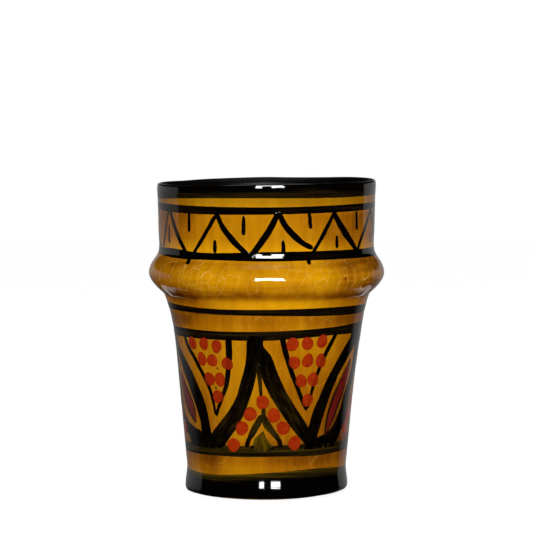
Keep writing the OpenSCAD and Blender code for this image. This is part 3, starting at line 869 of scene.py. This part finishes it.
# The pendants
# Between the arches hang eight strokes of the same dark paint, in pairs that meet in a point, as a
# bunch of grapes is drawn. Each is pulled downwards with a brush that empties on the way.
pendant_lines = [
    ([(-61.2, 52.6), (-60.0, 50.9), (-57.0, 47.9), (-52.4, 45.5), (-47.5, 42.2), (-43.0, 38.8),
      (-39.6, 35.6), (-37.2, 31.6), (-35.6, 27.0)], [1.9, 1.8, 1.7, 1.5, 1.2]),
    ([(-23.3, 52.6), (-23.4, 48.6), (-23.6, 45.3), (-24.6, 41.6), (-26.3, 37.0), (-28.6, 34.1),
      (-31.6, 30.9), (-35.2, 26.7)],
     [2.3, 2.2, 1.8, 1.4, 1.2]),
    ([(9.2, 52.6), (10.9, 48.8), (13.2, 45.0), (16.1, 40.8), (19.6, 36.6), (23.4, 32.2),
      (27.2, 28.7)],
     [1.8, 1.8, 1.6, 1.6, 1.4]),
    ([(46.4, 53.4), (42.4, 50.0), (38.9, 46.6), (35.0, 42.2), (32.2, 38.2), (29.6, 33.6),
      (27.2, 29.2)],
     [1.7, 1.8, 1.5, 1.5, 1.4]),
]
pendants = [drawn([(angle, height + 0.35), (angle, height - 0.35)], [0.6, 0.7], [0.7], 1)
            for angle, height in [(-34.2, 35.8), (-32.2, 42.2)]]
for line, widths in pendant_lines:
    pendants.append(drawn(line, widths, [0.95, 0.86, 0.8, 0.86], 3))
    pendants.append(drawn(moved(line, half_turn, 0.3), widths, [0.95, 0.86, 0.8, 0.86], 3))
joined("pendant_brush_strokes", pendants, brushed_dark, "dark_paint", "pendant_strokes")


# The dots
# Round dabs of an orange red slip, each set down with the tip of the brush: seven in each arch and
# nine in each pendant. A dab is thickest in its middle, and turns dark where it lies on a stroke.
dab_top = 0.05 * mm
dab_lay = 0.003 * mm
dab_curve = 5
dab_oval = 0.05
dab_corners = 0.035
dab_shade = 0.45
dab_rings = 9
dab_points = 36
dab_orange = (0.40, 0.034, 0.003, 1)
dab_deep = (0.27, 0.016, 0.002, 1)
dab_dark = (0.10, 0.006, 0.001, 1)
arch_dabs = [(0.4, 31.7), (-7.7, 27.8), (7.8, 27.4), (-13.6, 23.2), (14.0, 23.3), (-19.9, 17.6),
             (22.2, 18.3)]
side_dabs = [(0, 33.6), (-6.8, 29.8), (6.6, 29.9), (-12.8, 25.6), (12.4, 25.9), (-18.2, 21.5),
             (18.0, 21.8)]
pendant_dabs = [
    (15.7, 50.2), (25.3, 50.3), (35.5, 50.8), (17.2, 44.3), (26.2, 44.8), (35.6, 44.5),
    (22.2, 38.3), (30.8, 38.6), (27.4, 32.0), (-52.2, 49.7), (-41.7, 49.8), (-31.9, 49.2),
    (-44.3, 44.8), (-35.9, 44.6), (-25.0, 43.8), (-39.0, 38.5), (-30.8, 38.6), (-33.0, 33.0),
]


def inside_dark(points):
    """Which (angle, height in mm) points lie on a dark stroke."""
    found = np.zeros(len(points), bool)
    x, y = points.T
    for shape in dark_shapes:
        apart = (points.max(axis=0) < shape.min(axis=0)) | (points.min(axis=0) > shape.max(axis=0))
        if apart.any():
            continue
        odd = np.zeros(len(points), bool)
        for (xa, ya), (xb, yb) in zip(shape, np.roll(shape, -1, axis=0)):
            crosses = (ya > y) != (yb > y)
            with np.errstate(divide="ignore", invalid="ignore"):
                odd ^= crosses & (x < (xb - xa) * (y - ya) / (yb - ya) + xa)
        found |= odd
    return found


bpy.ops.object.select_all(action="DESELECT")
bpy.ops.mesh.primitive_circle_add(vertices=dab_points, radius=1, fill_type="NGON")
dab = bpy.context.object
dab.name = "first_dab"
bpy.ops.object.mode_set(mode="EDIT")
bpy.ops.mesh.select_all(action="SELECT")
for k in range(dab_rings - 1):
    bpy.ops.mesh.inset(thickness=1 / dab_rings, depth=0)
bpy.ops.mesh.poke()
bpy.ops.object.mode_set(mode="OBJECT")


def dabbed(angle, height, radius, order):
    """A copy of the first dab, set down on the cup."""
    piece = dab.copy()
    piece.data = dab.data.copy()
    bpy.context.collection.objects.link(piece)
    bpy.ops.object.select_all(action="DESELECT")
    piece.select_set(True)
    bpy.context.view_layer.objects.active = piece
    x, y, _ = vertices_of(piece).T
    out, turn = np.hypot(x, y), np.arctan2(y, x)
    size = radius * out * (1 + dab_oval * np.sin(2 * turn + hand.uniform(0, 6))
                           + dab_corners * np.sin(3 * turn + hand.uniform(0, 6)))
    height_mm = height + size * np.sin(turn) * hand.uniform(1.0, 1.1)
    angles = angle + size * np.cos(turn) / degree_at(height)
    dark_under = inside_dark(np.stack([(angles + 180) % 360 - 180, height_mm], axis=1))
    dark_under |= inside_dark(np.stack([angles % 360, height_mm], axis=1))
    set_values(piece, across=out, load=hand.uniform(0.35, 0.65), under=dark_under.astype(float))
    top = dab_top + order * dab_lay
    lift = film_edge + (top - film_edge) * np.clip(flat_top - out ** dab_curve, 0, 1)
    move_vertices(piece, on_cup(angles, reach_at(angles, height_mm * mm), lift))
    given_depth(piece)
    return piece


orange, tree, shader = new_material("orange_dabs", glaze_roughness)
place = add(tree, "TexCoord").outputs["Object"]
flecks = noise(tree, place, scale=900.0, detail=3.0, roughness=0.6)
mottle = ranged(tree, flecks, 0.3, 0.7, -0.35, 0.35)
at_edge = ranged(tree, own(tree, "across"), 0.7, 1.0, 0.0, 0.35)
thick = plus(tree, own(tree, "load"), mottle, at_edge)
dab_tone = mixed(tree, thick, dab_orange, dab_deep)
join(tree, shader.inputs["Base Color"],
     mixed(tree, times(tree, own(tree, "under"), dab_shade), dab_tone, dab_dark))
bumped(tree, shader, mottle, paint_bump)

dabs = []
for turn in stem_tops:
    places = arch_dabs if turn in (front_arch, back_arch) else side_dabs
    for k, (angle, height) in enumerate(moved(places, turn, 0.0 if turn == front_arch else 0.2)):
        dabs.append(dabbed(angle, height, hand.uniform(2.1, 2.22), k))
joined("arch_dabs", dabs, orange, "orange_paint", "arch_dots")
dabs = []
for turn, loose in ((0, 0.0), (half_turn, 0.2)):
    for k, (angle, height) in enumerate(moved(pendant_dabs, turn, loose)):
        dabs.append(dabbed(angle, height, hand.uniform(2.0, 2.15), k))
joined("pendant_dabs", dabs, orange, "orange_paint", "pendant_dots")
bpy.data.objects.remove(dab)


# The leaves
# In the bare leaf of each flank a slim leaf is drawn with a fine brush of dark paint, and filled
# with a deep red slip.
leaf_red = (0.17, 0.012, 0.007, 1)
leaf_deep = (0.085, 0.006, 0.004, 1)
leaves = [
    ([(66.0, 44.2), (59.6, 40.6), (54.8, 37.2), (50.8, 33.8), (47.4, 30.2), (44.8, 26.6),
      (43.2, 20.2)],
     [(66.6, 44.2), (65.4, 40.6), (63.3, 37.2), (60.3, 33.8), (56.3, 30.4), (51.8, 26.4),
      (44.4, 20.2)]),
    ([(-74.6, 39.6), (-73.6, 36.2), (-71.6, 33.0), (-68.6, 29.8), (-64.6, 27.2), (-60.0, 25.4),
      (-56.4, 23.6)],
     [(-74.0, 39.6), (-69.0, 37.6), (-64.8, 35.2), (-60.4, 32.4), (-57.0, 29.6), (-55.6, 26.8),
      (-55.8, 23.6)]),
]
red, tree, shader = new_material("red_leaves", glaze_roughness)
streaks = noise(tree, brush_streaks(tree), scale=1.4, detail=3.0, roughness=0.6)
leaf_tone = mixed(tree, ranged(tree, streaks, 0.3, 0.7), leaf_red, leaf_deep)
join(tree, shader.inputs["Base Color"], leaf_tone)
bumped(tree, shader, streaks, paint_bump)

fills, outlines = [], []
for left, right in leaves:
    for turn, loose in ((0, 0.0), (half_turn, 0.2)):
        left_edge, right_edge = moved(left, turn, loose), moved(right, turn, loose)
        fills.append(stroke(left_edge, right_edge, [0.6], 2, ends=False))
        outlines.append(drawn(left_edge, [0.4, 0.7, 1.1, 1.0], [0.8, 0.7], 6))
        outlines.append(drawn(right_edge, [0.4, 0.8, 0.8, 0.6], [0.8, 0.7], 8))
joined("red_leaf_fills", fills, red, "red_paint", "leaf_fills")
joined("leaf_outline_strokes", outlines, brushed_dark, "dark_paint", "leaf_outlines")


# The studio
# The cup stands on a plain pale floor, under a soft lamp behind the camera. Three window panes give
# it its highlights. White paper beside and behind it, a white table and a pale ceiling show only in
# its gloss.
floor_size = 3.0
floor_colour = (0.8, 0.8, 0.8, 1)
floor_seen = (0.2, 0.2, 0.2, 1)
floor_glow = 0.9
from_left_to_right = (-0.01, 0.01)
paper_edges = (0.2588, 0.5446)
paper_low_edges = (-0.38, -0.5)
paper_fade = 0.45
paper_top = 0.16
paper_top_fade = 0.05
paper_level = 0.34
table_slope = -1.29
table_level = 0.65
ceiling_level = 1.2
middle_of_cup = 0.05
window_distance = 6.0
window_radiance = 34.0
window_panes = [("window_left", -7.5, 6.2, 0.66, 0.46), ("window_right", 12.3, 6.2, 1.35, 0.46),
                ("window_top", 3.4, 14.2, 2.9, 1.22)]
camera_place = (0, -0.9, 0.13)
camera_pitch = 3.62
lens_length = 186.6
sensor = 36

bpy.ops.object.select_all(action="DESELECT")
bpy.ops.mesh.primitive_plane_add(size=floor_size)
floor = bpy.context.object
floor.name = "studio_floor"
floor_paint, tree, shader = new_material("studio_floor", 0.9)
rays = add(tree, "LightPath").outputs
seen = add(tree, "AddShader")
join(tree, seen.inputs[0], add(tree, "Emission", Strength=floor_glow).outputs[0])
join(tree, seen.inputs[1], add(tree, "BsdfDiffuse", Color=floor_seen).outputs[0])
choice = add(tree, "MixShader", Fac=rays["Is Camera Ray"])
join(tree, choice.inputs[1], add(tree, "BsdfDiffuse", Color=floor_colour).outputs[0])
join(tree, choice.inputs[2], seen.outputs[0])
tree.nodes.remove(shader)
join(tree, tree.nodes["Material Output"].inputs["Surface"], choice.outputs[0])
floor.data.materials.append(floor_paint)
floor.visible_glossy = False

world = bpy.data.worlds.new("studio")
bpy.context.scene.world = world
world.use_nodes = True
tree = world.node_tree
x, y, z = add(tree, "SeparateXYZ", Vector=add(tree, "TexCoord").outputs["Generated"]).outputs
across, deep = worked(tree, "POWER", x, 2.0), worked(tree, "POWER", y, 2.0)
level = worked(tree, "SQRT", plus(tree, across, deep))
behind = worked(tree, "DIVIDE", y, plus(tree, level, 1e-4))
edge = ranged(tree, x, *from_left_to_right, *paper_edges)
softness = ranged(tree, z, -0.3, -0.02, 0.3, 0.03)
paper = times(tree, ranged(tree, worked(tree, "SUBTRACT", behind, edge), 0.0, softness),
              ranged(tree, z, paper_top - paper_top_fade, paper_top + paper_top_fade, 1.0, 0.0))
low_edge = ranged(tree, x, *from_left_to_right, *paper_low_edges)
low_paper = ranged(tree, z, low_edge, plus(tree, low_edge, paper_fade))
table_edge = ranged(tree, z, -0.52, -0.42, 1.45, 1.37)
slanted = worked(tree, "MULTIPLY_ADD", z, table_slope, behind)
past_edge = worked(tree, "SUBTRACT", slanted, table_edge)
table = times(tree, between(tree, past_edge, 0.0, 0.02, 0.07, 0.12),
              between(tree, z, -0.72, -0.5, -0.36, -0.3), table_level)
ceiling = ranged(tree, z, 0.87, 0.93, 0.0, ceiling_level)
glossy_level = plus(tree, times(tree, paper, low_paper, paper_level), table, ceiling)
soft = plus(tree, ranged(tree, behind, 0.3, 0.9, 0.06, 0.8), ranged(tree, z, 0.5, 0.9, 0.0, 0.3))
rays = add(tree, "LightPath").outputs
seen = worked(tree, "MAXIMUM", rays["Is Camera Ray"], rays["Is Transmission Ray"])
unseen = add(tree, "Mix", Factor=rays["Is Glossy Ray"], A=soft, B=glossy_level).outputs[0]
strength = add(tree, "Mix", Factor=seen, A=unseen, B=1.0).outputs[0]
join(tree, tree.nodes["Background"].inputs["Strength"], strength)
tree.nodes["Background"].inputs["Color"].default_value = (1, 1, 1, 1)


def lamp(name, turn, rise, distance, width, tall, radiance, highlight):
    """A square lamp that faces the cup. It gives either the highlights or the light."""
    data = bpy.data.lights.new(name, "AREA")
    data.shape = "RECTANGLE"
    data.size, data.size_y = width, tall
    data.energy = radiance * math.pi * width * tall
    made = bpy.data.objects.new(name, data)
    bpy.context.collection.objects.link(made)
    turn, rise = math.radians(turn), math.radians(rise)
    level, up = distance * math.cos(rise), distance * math.sin(rise)
    made.location = (level * math.sin(turn), -level * math.cos(turn), up + middle_of_cup)
    made.rotation_euler = (math.pi / 2 - rise, 0, turn)
    made.visible_glossy = highlight
    made.visible_diffuse = not highlight


lamp("soft_lamp", turn=3, rise=22, distance=1.2, width=0.5, tall=0.5, radiance=14.5, highlight=False)
for name, turn, rise, width, tall in window_panes:
    lamp(name, turn, rise, window_distance, width, tall, window_radiance, highlight=True)

view = bpy.data.cameras.new("camera")
view.lens, view.sensor_width = lens_length, sensor
camera = bpy.data.objects.new("camera", view)
bpy.context.collection.objects.link(camera)
camera.location = camera_place
camera.rotation_euler = (math.radians(90 - camera_pitch), 0, 0)
bpy.context.scene.camera = camera
bpy.context.scene.view_settings.view_transform = "Standard"
